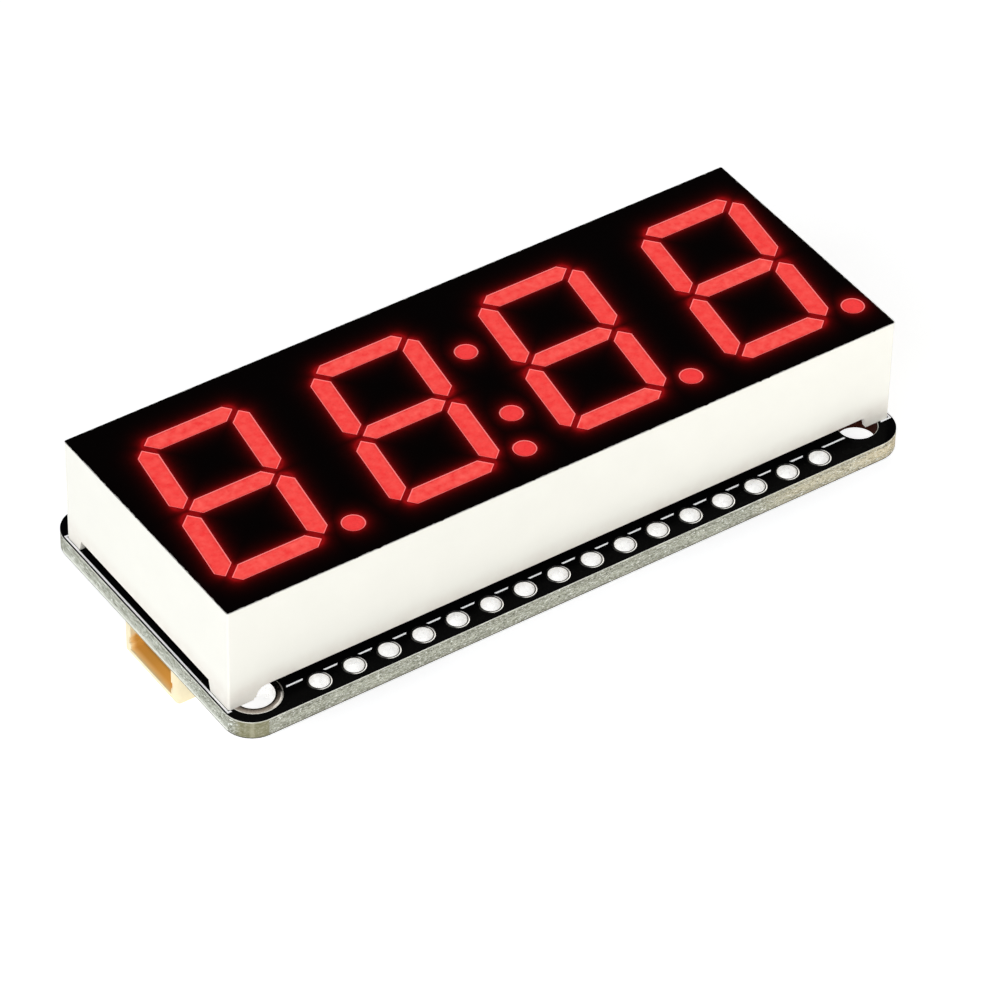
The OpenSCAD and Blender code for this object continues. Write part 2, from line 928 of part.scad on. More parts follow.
module resistor_ends() {
    color([0.8, 0.8, 0.78])
    passive_ends(resistor_at, resistor_h);
}

housing();
face_ink();
digit(0);  // digit_1
digit(1);  // digit_2
digit(2);  // digit_3
digit(3);  // digit_4
decimal_points();
colon_dots();
lamp_board();
lamp_chips();
potting();
pins(-1);  // front_pins
pins(1);  // rear_pins
board_core();
mask_top();
mask_bottom();
print_top();
print_bottom();
front_header_pads();
rear_header_pads();
mounting_rings();
display_pads();
display_solder();
surface_pads();
connector_shell();
connector_contacts();
connector_tabs();
driver_chip();
driver_leads();
capacitors();
capacitor_ends();
resistors();
resistor_ends();
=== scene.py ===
"""Looks of a four-digit seven segment display module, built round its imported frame.

Lengths are in millimetres in this script, up to the calls that take metres. Object coordinates
are the frame's own: X along the digits, Y up the digits, Z out of the lit face.
"""

import json
import math

import bmesh
import bpy
from mathutils import Matrix, Vector


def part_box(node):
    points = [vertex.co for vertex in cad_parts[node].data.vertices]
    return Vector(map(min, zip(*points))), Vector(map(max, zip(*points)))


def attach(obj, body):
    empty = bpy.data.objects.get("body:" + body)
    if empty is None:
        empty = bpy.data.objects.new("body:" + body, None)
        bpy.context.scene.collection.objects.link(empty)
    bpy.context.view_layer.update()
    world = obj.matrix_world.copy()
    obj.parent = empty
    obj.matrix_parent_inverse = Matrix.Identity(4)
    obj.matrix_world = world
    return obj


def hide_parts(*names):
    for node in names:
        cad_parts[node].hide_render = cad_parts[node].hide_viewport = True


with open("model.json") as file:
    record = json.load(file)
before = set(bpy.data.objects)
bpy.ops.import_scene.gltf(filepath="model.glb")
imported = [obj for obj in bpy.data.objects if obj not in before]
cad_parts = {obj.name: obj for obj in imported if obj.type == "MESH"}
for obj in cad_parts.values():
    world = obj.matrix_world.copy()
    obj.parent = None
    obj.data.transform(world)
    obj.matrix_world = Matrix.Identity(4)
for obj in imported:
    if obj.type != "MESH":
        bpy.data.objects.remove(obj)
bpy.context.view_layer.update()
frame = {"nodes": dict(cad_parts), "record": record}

MM = 0.001


def box_mm(node):
    """Lowest and highest corner of a CAD node, in millimetres."""
    low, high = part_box(node)
    return low / MM, high / MM


# Places taken from the frame
FACE_LOW, FACE_HIGH = box_mm("face_ink")
BOARD_LOW, BOARD_HIGH = box_mm("board_core")
SHELL_LOW, SHELL_HIGH = box_mm("connector_shell")
FRONT_LOW, FRONT_HIGH = box_mm("front_header_pads")
REAR_LOW, REAR_HIGH = box_mm("rear_header_pads")
POINT_LOW, POINT_HIGH = box_mm("decimal_points")
DIGIT_BOXES = [box_mm(f"digit_{i}") for i in (1, 2, 3, 4)]
DECK_Z = box_mm("mask_top")[1].z

# Form of the lit outlines. A digit's width is without its slant.
SLANT = math.tan(math.radians(8.2))
STROKE = 1.26
DIGIT_W = 8.06
DIGIT_H = DIGIT_BOXES[0][1].y - DIGIT_BOXES[0][0].y
DIGIT_Y = (DIGIT_BOXES[0][0].y + DIGIT_BOXES[0][1].y) / 2
DIGIT_PITCH = DIGIT_BOXES[1][0].x - DIGIT_BOXES[0][0].x
ROW_X = (DIGIT_BOXES[0][0].x + DIGIT_BOXES[3][1].x) / 2
SIDE_X = (DIGIT_W - STROKE) / 2
TOP_Y = (DIGIT_H - STROKE) / 2
SIDE_BAR_SHORTER = 0.2
MIDDLE_BAR_SHORTER = 0.3
DOT_R = 0.71
COLON_Y = TOP_Y / 2
POINT_X = POINT_LOW.x + DOT_R
POINT_Y = (POINT_LOW.y + POINT_HIGH.y) / 2

# Where along the white case painted light begins to brighten its tone, and where it is brightest
CASE_PAINTED_LIGHT_FROM_X = -8.0
CASE_PAINTED_LIGHT_FULL_X = 25.0

# Form of the board
BOARD_R = 2.0
MOUNT_R = 1.325
MOUNT_INSET = 2.37
MOUNT_X = BOARD_HIGH.x - MOUNT_INSET
MOUNT_Y = BOARD_HIGH.y - MOUNT_INSET
# Middle height of the two darker layers in the laminate, and how far each is from it
LAYERS_MID = 0.62
LAYERS_AWAY = 0.42
# How far the thin lines reach along the laminate's upper and lower edge, fading and in full
LINE_REACH = 0.1
LINE_FULL = 0.03

# Header holes and their pads
HOLE_PITCH = 2.54
HOLE_R = 0.65
PAD_R = 0.8
FIRST_HOLE_X = FRONT_LOW.x + PAD_R
LAST_HOLE_X = FRONT_HIGH.x - PAD_R
FRONT_ROW_Y = (FRONT_LOW.y + FRONT_HIGH.y) / 2
REAR_ROW_Y = (REAR_LOW.y + REAR_HIGH.y) / 2
# Direction from a pad's middle to the side where its painted glint lies
GLINT_X = 0.72
GLINT_Y = -0.69

# Share of a step by which a repeated pattern is cut short of its next copy
HAIR = 0.001

# Width of the rounded edges of the small moulded, fired and bent pieces
SOFT_EDGES = {
    "connector_shell": 0.05, "connector_contacts": 0.04, "connector_tabs": 0.04,
    "driver_chip": 0.07, "driver_leads": 0.05, "capacitors": 0.05, "capacitor_ends": 0.05,
    "resistors": 0.04, "resistor_ends": 0.04}
# Width of the rounded outer corners of the connector's shell, and its share along the bottom
SHELL_CORNER = 0.38
BOTTOM_SHARE = 0.45
# Points of a form that are nearer than this count as one
SAME_POINT = 0.001

# Camera of the photograph, with its angles in degrees
CAMERA_AIM = Vector((-0.381, -2.568, 4.75))
CAMERA_AWAY = 378.16
CAMERA_AZIMUTH = -35.057
CAMERA_ELEVATION = 41.554
CAMERA_ROLL = 1.309
CAMERA_LENS = 214.27
CAMERA_SENSOR = 36.0
CAMERA_NEAREST = 10
CAMERA_FARTHEST = 10000

# Studio, with heights and tones of the sky as shares of 1
FLOOR_HALF = 1500
FLOOR_TONE = 0.82
FLOOR_GLOW = 0.74
LIGHT_AWAY = 700
SKY_POWER = 0.95
HORIZON_HEIGHT = 0.12
HORIZON_TONE = 1.0
OVERHEAD_HEIGHT = 0.55
OVERHEAD_TONE = 0.07


class Graph:
    """Nodes of one material. Each method adds what it names and returns the output."""

    def __init__(self, name):
        self.material = bpy.data.materials.new(name)
        self.material.use_nodes = True
        self.tree = self.material.node_tree
        self.shader = self.tree.nodes["Principled BSDF"]

    def put(self, socket, value):
        """Sets a socket, or links it where the value is another node's output."""
        if isinstance(value, bpy.types.NodeSocket):
            self.tree.links.new(value, socket)
        else:
            socket.default_value = value

    def add(self, kind, inputs, output=0, **settings):
        """Any shader node, from the end of its type's name, its inputs and its settings."""
        node = self.tree.nodes.new("ShaderNode" + kind)
        for name, value in settings.items():
            setattr(node, name, value)
        for key, value in inputs.items():
            self.put(node.inputs[key], value)
        return node.outputs[output]

    def finish(self, **inputs):
        """Sets the shader's own sockets, with _ for a space, and returns the material."""
        for name, value in inputs.items():
            self.put(self.shader.inputs[name.replace("_", " ")], value)
        return self.material

    def math(self, operation, a, b=0.0, c=0.0):
        return self.add("Math", {0: a, 1: b, 2: c}, operation=operation)

    def sum(self, a, b):
        return self.math("ADD", a, b)

    def less(self, a, b):
        return self.math("SUBTRACT", a, b)

    def times(self, a, b):
        return self.math("MULTIPLY", a, b)

    def over(self, a, b):
        return self.math("DIVIDE", a, b)

    def least(self, *values):
        low = values[0]
        for value in values[1:]:
            low = self.math("MINIMUM", low, value)
        return low

    def size(self, a):
        return self.math("ABSOLUTE", a)

    def beyond(self, a, limit):
        """How far a lies above a limit, or zero."""
        return self.math("MAXIMUM", self.less(a, limit), 0.0)

    def clamp(self, a, low, high):
        return self.add("Clamp", {0: a, 1: low, 2: high})

    def wrap(self, a, low, high):
        """Repeats the stretch from low to high in both directions."""
        return self.math("WRAP", a, high, low)

    def length(self, a, b):
        return self.math("SQRT", self.sum(self.times(a, a), self.times(b, b)))

    def place(self):
        """Object coordinates in millimetres."""
        spot = self.add("TexCoord", {}, "Object")
        return self.add("VectorMath", {0: spot, "Scale": 1 / MM}, operation="SCALE")

    def axes(self):
        node = self.add("SeparateXYZ", {0: self.place()}).node
        return node.outputs[0], node.outputs[1], node.outputs[2]

    def noise(self, grain, detail=3.0, stretch=(1, 1, 1), rough=0.55):
        """Noise from 0 to 1 whose grains are about so many millimetres across."""
        spot = self.add("VectorMath", {0: self.place(), 1: [1 / s for s in stretch]},
                        operation="MULTIPLY")
        return self.add("TexNoise", {"Vector": spot, "Scale": 1 / grain, "Detail": detail,
                                     "Roughness": rough})

    def step(self, value, low, high, to_low=0.0, to_high=1.0):
        """A smooth step of a value between two limits."""
        return self.add("MapRange", {"Value": value, "From Min": low, "From Max": high,
                                     "To Min": to_low, "To Max": to_high},
                        interpolation_type="SMOOTHSTEP")

    def band(self, value, start, full, fading, end):
        """A smooth step up from start to full, and down again from fading to end."""
        return self.times(self.step(value, start, full), self.step(value, end, fading))

    def spread(self, value, low, high):
        """Noise around 0.5 drawn out to a range."""
        return self.add("MapRange", {"Value": value, "From Min": 0.3, "From Max": 0.7,
                                     "To Min": low, "To Max": high})

    def blend(self, share, a, b, kind="MIX"):
        """Colour a with a share of colour b."""
        colours = [c if isinstance(c, bpy.types.NodeSocket) else (*c, 1.0) for c in (a, b)]
        return self.add("Mix", {0: share, 6: colours[0], 7: colours[1]}, 2,
                        data_type="RGBA", blend_type=kind)

    def tint(self, tone, colour, share, strength):
        """A tone with a share of a colour, which never grows past its strength."""
        return self.blend(self.times(share, strength), tone, colour)

    def shade(self, value, colour, low, high):
        """A colour made darker and lighter by noise."""
        grey = self.spread(value, low, high)
        tone = self.add("CombineColor", {0: grey, 1: grey, 2: grey})
        return self.blend(1.0, colour, tone, "MULTIPLY")

    def relief(self, height, deep, normal=None):
        """Bump so many millimetres deep."""
        inputs = {"Height": height, "Distance": deep * MM, "Strength": 1.0}
        if normal is not None:
            inputs["Normal"] = normal
        return self.add("Bump", inputs)

    def soft_edge(self, radius):
        """Normal that rounds the edges by so many millimetres."""
        return self.add("Bevel", {"Radius": radius * MM}, samples=4)


def lit_distances(g):
    """Distances from the nearest level bar, upright bar and dot, below zero inside them."""
    x, y, _ = g.axes()
    above = g.less(y, DIGIT_Y)
    along = g.less(g.less(x, ROW_X), g.times(above, SLANT))
    reach = (2 - HAIR) * DIGIT_PITCH
    in_row = g.clamp(along, -reach, reach)
    in_digit = g.less(g.wrap(in_row, 0.0, DIGIT_PITCH), DIGIT_PITCH / 2)
    aside, away = g.size(in_digit), g.size(above)
    bar_end = SIDE_X - STROKE / 2
    side_half = TOP_Y / 2 - STROKE / 2 - SIDE_BAR_SHORTER
    top = g.length(g.beyond(aside, bar_end), g.less(away, TOP_Y))
    side_past = g.beyond(g.size(g.less(away, TOP_Y / 2)), side_half)
    side = g.length(g.less(aside, SIDE_X), side_past)
    middle = g.length(g.beyond(aside, bar_end - MIDDLE_BAR_SHORTER), away)
    level = g.less(g.least(top, middle), STROKE / 2)
    upright = g.less(side, STROKE / 2)
    shifted = g.sum(g.less(x, POINT_X), DIGIT_PITCH / 2)
    point_x = g.less(g.wrap(shifted, 0.0, DIGIT_PITCH), DIGIT_PITCH / 2)
    point = g.length(point_x, g.less(y, POINT_Y))
    colon = g.length(along, g.less(away, COLON_Y))
    return level, upright, g.less(g.least(point, colon), DOT_R)


def past_outlines(g):
    """Distance past the nearest lit outline, or zero inside one."""
    return g.beyond(g.least(*lit_distances(g)), 0.0)


def halo(g, past, *terms):
    """Light past the lit outlines: each term is its strength and how soon it falls off."""
    light = 0.0
    for strength, reach in terms:
        light = g.sum(light, g.times(g.math("EXPONENT", g.times(past, -1 / reach)), strength))
    return light


def white_plastic():
    """Moulded white case: faint grain, a soft sheen, painted pink light at the rims of the wells,
    painted light towards the right and painted shade near the board.
    """
    g = Graph("white_plastic")
    x, _, z = g.axes()
    # Painted light: the case's tone grows brighter towards its right end.
    to_right = g.step(x, CASE_PAINTED_LIGHT_FROM_X, CASE_PAINTED_LIGHT_FULL_X)
    tone = g.blend(to_right, (0.90, 0.882, 0.80), (0.955, 0.936, 0.85))
    tone = g.shade(g.noise(2.5), tone, 0.98, 1.0)
    # Painted shade: the case darkens near its foot, where the board is.
    low = g.times(g.step(z, DECK_Z + 2.4, DECK_Z + 0.8), g.spread(g.noise(0.9), 0.4, 1.0))
    tone = g.blend(low, tone, (0.82, 0.77, 0.69))
    face = g.step(z, FACE_LOW.z - 0.03, FACE_LOW.z - 0.01)
    past = past_outlines(g)
    # Painted glow: the lamps' red light near the wells, as a pink tint in the colour and as
    # emission.
    painted_glow_tint = g.times(face, halo(g, past, (0.95, 0.25)))
    lit = g.times(face, halo(g, past, (0.9, 0.2)))
    return g.finish(Base_Color=g.blend(painted_glow_tint, tone, (0.45, 0.07, 0.065)),
                    Roughness=g.spread(g.noise(0.8), 0.42, 0.5), Specular_IOR_Level=0.35,
                    Normal=g.relief(g.noise(0.12, 4.0), 0.004, g.soft_edge(0.05)),
                    Emission_Color=(1.0, 0.20, 0.20, 1.0), Emission_Strength=lit)


def black_ink():
    """Printed black face with a ragged edge, through which the lamps show as a red halo."""
    g = Graph("face_ink")
    x, y, _ = g.axes()
    mid_y = (FACE_LOW.y + FACE_HIGH.y) / 2
    half_x, half_y = (FACE_HIGH.x - FACE_LOW.x) / 2, (FACE_HIGH.y - FACE_LOW.y) / 2
    inside = g.least(g.less(half_x, g.size(x)), g.less(half_y, g.size(g.less(y, mid_y))))
    ragged = g.spread(g.noise(0.35, 4.0), -0.02, 0.07)
    bare = g.step(g.less(inside, ragged), 0.02, 0.0)
    light = halo(g, past_outlines(g), (0.19, 0.14), (0.082, 0.36))
    return g.finish(Base_Color=g.blend(bare, (0.0016, 0.0004, 0.0004), (0.55, 0.54, 0.5)),
                    Roughness=g.spread(g.noise(0.6), 0.5, 0.62), Specular_IOR_Level=0.012,
                    Normal=g.relief(g.noise(0.09, 4.0), 0.003),
                    Emission_Color=(1.0, 0.012, 0.016, 1.0),
                    Emission_Strength=g.times(light, g.spread(g.noise(0.3), 0.8, 1.15)))


def lit_resin():
    """Cast resin that glows red, a little uneven as the lamps behind it are."""
    g = Graph("lit_resin")
    level, upright, dots = lit_distances(g)
    patches = g.spread(g.noise(0.55, 4.0), 0.0, 1.0)
    glow = g.blend(patches, (0.86, 0.04, 0.038), (0.98, 0.118, 0.098))
    # Painted highlight: the level bars keep a brighter glow than the upright bars.
    glow = g.tint(glow, (0.88, 0.034, 0.034), g.step(upright, 0.05, -0.1), 0.35)
    glow = g.tint(glow, (0.86, 0.034, 0.038), g.step(dots, 0.0, -0.02), 0.75)
    grain = g.spread(g.noise(0.13, 4.0, rough=0.7), 0.87, 1.06)
    edge = g.step(g.least(level, upright, dots), -0.22, 0.0, 1.0, 0.84)
    return g.finish(Base_Color=(0.12, 0.01, 0.01, 1.0), Roughness=0.4, Specular_IOR_Level=0.2,
                    Normal=g.relief(g.noise(0.2), 0.004),
                    Emission_Color=glow, Emission_Strength=g.times(grain, edge))


def laminate_tone(g, x, height, left_face):
    """Grey-green glass fibre, tan towards the right end, with two darker layers."""
    tone = g.shade(g.noise(0.6, 3.0, (3, 3, 0.5)), (0.37, 0.375, 0.30), 0.78, 1.2)
    from_right = g.less(BOARD_HIGH.x, x)
    tone = g.tint(tone, (0.60, 0.53, 0.36), g.step(from_right, 13.4, 8.4), 0.75)
    tone = g.tint(tone, (0.76, 0.62, 0.38), g.step(from_right, 5.4, 0.9), 0.6)
    tone = g.tint(tone, (0.50, 0.52, 0.44), left_face, 0.5)
    from_layer = g.size(g.less(g.size(g.less(height, LAYERS_MID)), LAYERS_AWAY))
    patchy = g.spread(g.noise(1.6, 3.0, (1, 1, 0.3)), 0.1, 0.75)
    return g.blend(g.times(g.step(from_layer, 0.16, 0.04), patchy), tone, (0.20, 0.20, 0.15))


def speckled(g, tone, grain, strength, *kinds):
    """A tone with specks: each kind has a colour, and the noise at its rim and where it's full."""
    for colour, rim, full in kinds:
        tone = g.tint(tone, colour, g.step(grain, rim, full), strength)
    return tone


def olive_corner(g, tone, x, y):
    """A tone with the front left corner's arc, olive with a faint pale streak."""
    past_x = g.less(g.size(x), BOARD_HIGH.x - BOARD_R)
    past_y = g.less(g.size(y), BOARD_HIGH.y - BOARD_R)
    front_left = g.times(g.math("LESS_THAN", x, 0.0), g.math("LESS_THAN", y, 0.0))
    arc = g.times(g.times(g.step(past_x, 0.0, 0.05), g.step(past_y, 0.6, 1.3)), front_left)
    tone = g.tint(tone, (0.23, 0.215, 0.11), arc, 0.75)
    streak = g.times(g.band(past_x, 0.9, 1.0, 1.1, 1.25), arc)
    return g.tint(tone, (0.6, 0.57, 0.43), streak, 0.25)


def edge_lines(g, tone, height, left_face):
    """A tone with a pale line along the upper edge, and a dark or, at the left, pale lower one."""
    from_top = g.less(BOARD_HIGH.z - BOARD_LOW.z, height)
    rim = g.times(g.step(from_top, LINE_REACH, LINE_FULL), g.spread(g.noise(1.3, 2.0), 0.35, 1.0))
    tone = g.blend(rim, tone, (0.86, 0.85, 0.77))
    foot = g.times(g.step(height, LINE_REACH, LINE_FULL), g.spread(g.noise(0.4, 2.0), 0.1, 0.8))
    tone = g.blend(g.times(foot, g.less(1.0, left_face)), tone, (0.16, 0.155, 0.11))
    return g.tint(tone, (0.92, 0.93, 0.84), g.times(g.step(height, 0.45, 0.05), left_face), 0.75)


def shaded_drilled_walls(g, tone, x, y, z):
    """A tone with dark walls in the right mounting holes, which aren't plated: painted shade on
    the bare laminate.
    """
    radius = g.length(g.less(x, MOUNT_X), g.less(g.size(y), MOUNT_Y))
    drilled = g.times(g.step(radius, MOUNT_R + 0.2, MOUNT_R + 0.02),
                      g.step(z, BOARD_HIGH.z, BOARD_HIGH.z - 0.01))
    return g.blend(drilled, tone, (0.035, 0.006, 0.002))


def board_laminate():
    """Routed glass fibre: layered and speckled edges, an olive corner and drilled walls in brown
    painted shade.
    """
    g = Graph("board_laminate")
    x, y, z = g.axes()
    height = g.less(z, BOARD_LOW.z)
    left_face = g.step(g.sum(x, BOARD_HIGH.x), 0.05, 0.01)
    weave = g.noise(0.09, 2.0, (7, 7, 0.7), 0.6)
    specks = g.noise(0.1, 3.0, (2.2, 2.2, 0.8), 0.8)
    flecks = g.noise(0.2, 2.0, (1.5, 1.5, 0.8), 0.6)
    tone = laminate_tone(g, x, height, left_face)
    tone = speckled(g, tone, weave, 0.5,
                    ((0.18, 0.18, 0.13), 0.46, 0.36), ((0.76, 0.76, 0.66), 0.55, 0.65))
    tone = speckled(g, tone, specks, 1.0,
                    ((0.06, 0.06, 0.04), 0.44, 0.36), ((0.90, 0.90, 0.84), 0.56, 0.64))
    tone = speckled(g, tone, flecks, 0.8,
                    ((0.07, 0.07, 0.05), 0.37, 0.31), ((0.93, 0.95, 0.90), 0.63, 0.69))
    tone = olive_corner(g, tone, x, y)
    tone = edge_lines(g, tone, height, left_face)
    tone = shaded_drilled_walls(g, tone, x, y, z)
    return g.finish(Base_Color=tone, Roughness=0.8, Specular_IOR_Level=0.05,
                    Normal=g.relief(specks, 0.025))


def solder_mask():
    """Black solder mask: smooth and glossy with a slight orange peel."""
    g = Graph("solder_mask")
    return g.finish(Base_Color=g.shade(g.noise(4.0, 2.0), (0.0015, 0.0015, 0.0016), 0.8, 1.2),
                    Roughness=g.spread(g.noise(1.5), 0.2, 0.3), Specular_IOR_Level=0.02,
                    Normal=g.relief(g.noise(0.5, 2.0), 0.004))


def board_print():
    """White screen print, thin enough to let the mask's grain through, with a faint painted glow.
    """
    g = Graph("board_print")
    grain = g.noise(0.12)
    return g.finish(Base_Color=g.shade(grain, (0.96, 0.96, 0.96), 0.9, 1.0), Roughness=0.6,
                    Specular_IOR_Level=0.3, Normal=g.relief(g.noise(0.08), 0.008),
                    # Painted glow: the print emits a little white light, along its grain.
                    Emission_Color=(1.0, 1.0, 1.0, 1.0),
                    Emission_Strength=g.spread(grain, 0.2, 0.34))


def header_pads(g, x, y):
    """Where header pads are bare metal, where their painted glint lies, and the height of their
    dome.
    """
    reach = (0.5 - HAIR) * HOLE_PITCH
    held = g.clamp(x, FIRST_HOLE_X - reach, LAST_HOLE_X + reach)
    along = g.wrap(g.less(held, FIRST_HOLE_X), -HOLE_PITCH / 2, HOLE_PITCH / 2)
    front = g.math("LESS_THAN", y, 0.0)
    across = g.less(y, g.sum(REAR_ROW_Y, g.times(front, FRONT_ROW_Y - REAR_ROW_Y)))
    radius = g.length(along, across)
    bare = g.band(radius, HOLE_R + 0.01, HOLE_R + 0.02, PAD_R + 0.02, PAD_R + 0.03)
    turned = g.over(g.sum(g.times(along, GLINT_X), g.times(across, GLINT_Y)), radius)
    glint_crescent = g.times(g.step(radius, PAD_R - 0.08, PAD_R - 0.06), g.step(turned, -0.1, 0.5))
    middle, half = (PAD_R + HOLE_R) / 2, (PAD_R - HOLE_R) / 2
    past = g.times(g.less(radius, middle), 1 / half)
    return bare, g.times(bare, glint_crescent), g.beyond(1.0, g.times(past, past))


def mounting_rings(g, x, y):
    """Where the left mounting holes' rings are, their tone of painted reflection and shade, and
    the painted highlight on their outer edge.
    """
    radius = g.length(g.sum(x, MOUNT_X), g.less(g.size(y), MOUNT_Y))
    past = g.less(radius, MOUNT_R)
    ring = g.band(past, 0.01, 0.02, 0.4, 0.44)
    # Painted reflection and shade: grey-brown, darker towards the hole and near black at its inner
    # edge.
    tone = g.blend(g.step(past, 0.05, 0.4), (0.17, 0.14, 0.12), (0.52, 0.47, 0.43))
    tone = g.shade(g.noise(0.14), tone, 0.8, 1.15)
    tone = g.blend(g.step(past, 0.14, 0.08), tone, (0.02, 0.017, 0.015))
    inward = g.over(g.less(MOUNT_Y, g.size(y)), radius)
    to_right = g.over(g.sum(x, MOUNT_X), radius)
    # Painted shade on the ring's side towards the board's middle and the right.
    shaded = g.times(g.step(inward, -0.6, -0.3), g.step(to_right, 0.0, 0.3))
    tone = g.tint(tone, (0.01, 0.009, 0.008), shaded, 0.95)
    # Painted highlight: a bright line on the outer edge, on the side facing right and away from
    # the board's middle.
    facing = g.times(g.step(g.less(to_right, inward), 1.1, 1.3), g.step(inward, -0.4, -0.55))
    lip_highlight = g.times(g.band(past, 0.3, 0.34, 0.4, 0.44), facing)
    return ring, g.tint(tone, (0.88, 0.83, 0.78), lip_highlight, 0.75), lip_highlight


def tin():
    """Tinned copper: domed pads in painted shade with a painted glint on one side, and rings round
    the left mounts in painted reflection and shade.
    """
    g = Graph("tin")
    x, y, z = g.axes()
    deck = g.step(z, DECK_Z - 0.1, DECK_Z - 0.05)
    bare, glint_crescent, dome = header_pads(g, x, y)
    painted_glint = g.times(glint_crescent, deck)
    ring, ring_painted_tone, lip_highlight = mounting_rings(g, x, y)
    tone = g.shade(g.noise(0.5), (0.94, 0.93, 0.91), 0.9, 1.02)
    # Painted shade: the bare pads are darkened almost to black, except at the painted glint.
    tone = g.tint(tone, (0.03, 0.03, 0.03), g.times(bare, g.less(1.0, painted_glint)), 0.94)
    # The painted glint and the rings' painted highlight also glow.
    glow = g.sum(g.times(painted_glint, 0.42), g.times(g.times(lip_highlight, deck), 0.3))
    return g.finish(Base_Color=g.blend(ring, tone, ring_painted_tone), Metallic=1.0,
                    Roughness=g.spread(g.noise(0.24), 0.2, 0.32),
                    Normal=g.relief(dome, 0.02, g.relief(g.noise(0.3), 0.002)),
                    Emission_Color=(1.0, 0.98, 0.94, 1.0), Emission_Strength=glow)


def mouth(g, x, y, z):
    """Where the connector's plastic is inside its mouth, less so above the far side's ledge."""
    across = g.step(g.size(y), SHELL_HIGH.y - 0.5, SHELL_HIGH.y - 0.55)
    upward = g.band(z, SHELL_LOW.z + 0.3, SHELL_LOW.z + 0.4,
                    SHELL_HIGH.z - 0.8, SHELL_HIGH.z - 0.6)
    inward = g.band(x, SHELL_LOW.x, SHELL_LOW.x + 0.2, SHELL_HIGH.x - 0.6, SHELL_HIGH.x - 0.2)
    ledge = g.times(g.step(z, SHELL_LOW.z + 1.5, SHELL_LOW.z + 1.8),
                    g.step(y, SHELL_HIGH.y - 1.38, SHELL_HIGH.y - 0.88))
    return g.times(g.times(g.times(across, upward), inward), g.less(1.0, g.times(ledge, 0.8)))


def connector_plastic():
    """Natural plastic, ivory outside and amber inside the mouth: caught light painted in as colour
    and glow, with painted shade deeper in.
    """
    g = Graph("connector_plastic")
    x, y, z = g.axes()
    inside = mouth(g, x, y, z)
    deep = g.less(x, SHELL_LOW.x)
    ivory = g.shade(g.noise(1.0), (0.86, 0.755, 0.505), 0.95, 1.02)
    # Painted shade: the amber darkens towards the rear side and deeper in, and is painted lighter
    # near the mouth's edge.
    shade_to_rear = g.step(y, SHELL_LOW.y + 0.98, SHELL_HIGH.y - 0.78)
    amber = g.blend(shade_to_rear, (0.84, 0.46, 0.10), (0.56, 0.28, 0.055))
    amber = g.blend(g.step(deep, 0.55, 0.1), amber, (0.90, 0.66, 0.32))
    amber = g.blend(g.step(deep, 0.85, 1.4), amber, (0.20, 0.085, 0.02))
    # Painted glow: the plastic emits faintly ivory all over and amber just inside the mouth.
    caught = g.blend(g.step(deep, 0.9, 1.4), (0.17, 0.075, 0.010), (0.0, 0.0, 0.0))
    return g.finish(Base_Color=g.blend(inside, ivory, amber),
                    Roughness=g.spread(g.noise(0.5), 0.4, 0.5), Specular_IOR_Level=0.4,
                    Normal=g.relief(g.noise(0.1), 0.004),
                    Emission_Color=g.blend(inside, (0.064, 0.055, 0.034), caught),
                    Emission_Strength=1.0)


def metal(name, colour, rough, grain, deep):
    """Metal with uneven brightness, polish and grain."""
    g = Graph(name)
    return g.finish(Base_Color=g.shade(g.noise(grain * 3), colour, 0.84, 1.04), Metallic=1.0,
                    Roughness=g.spread(g.noise(grain * 2), *rough),
                    Normal=g.relief(g.noise(grain), deep))


def plain_body(name, colour, rough, grain, deep, gloss=0.4):
    """Opaque moulded, fired or cast stuff with a fine grain."""
    g = Graph(name)
    return g.finish(Base_Color=g.shade(g.noise(grain * 8), colour, 0.9, 1.06),
                    Roughness=g.spread(g.noise(grain * 4), *rough),
                    Specular_IOR_Level=gloss, Normal=g.relief(g.noise(grain), deep))


MATERIALS = {
    "white_plastic": white_plastic(),
    "face_ink": black_ink(),
    "lit_resin": lit_resin(),
    "lamp_laminate": plain_body("lamp_laminate", (0.62, 0.58, 0.36), (0.6, 0.75), 0.15, 0.01),
    "lamp_die": metal("lamp_die", (0.80, 0.68, 0.30), (0.2, 0.35), 0.05, 0.002),
    "potting_resin": plain_body(
        "potting_resin", (0.74, 0.71, 0.58), (0.16, 0.3), 0.9, 0.03, gloss=0.5),
    "board_laminate": board_laminate(),
    "solder_mask": solder_mask(),
    "board_print": board_print(),
    "tin": tin(),
    "solder": metal("solder", (0.78, 0.78, 0.76), (0.14, 0.26), 0.2, 0.008),
    "connector_plastic": connector_plastic(),
    "contact_metal": metal("contact_metal", (0.82, 0.70, 0.46), (0.24, 0.36), 0.1, 0.003),
    "chip_epoxy": plain_body("chip_epoxy", (0.018, 0.018, 0.019), (0.5, 0.66), 0.06, 0.006),
    "capacitor_ceramic": plain_body(
        "capacitor_ceramic", (0.36, 0.23, 0.12), (0.4, 0.55), 0.06, 0.005),
    "resistor_ceramic": plain_body(
        "resistor_ceramic", (0.012, 0.012, 0.014), (0.2, 0.35), 0.1, 0.004),
}


def mark_corners(form, low, high):
    """Weighs the outer edges of a box-like form for rounding: its uprights most, its top not."""
    weight = form.edges.layers.float.new("bevel_weight_edge")
    near = SAME_POINT * MM
    for edge in form.edges:
        ends = [vertex.co for vertex in edge.verts]
        sides = sum(all(abs(end[i] - side[i]) < near for end in ends)
                    for i in range(3) for side in (low, high))
        if sides < 2 or all(abs(end.z - high.z) < near for end in ends):
            continue
        upright = abs(ends[0].z - ends[1].z) > near
        edge[weight] = 1.0 if upright else BOTTOM_SHARE


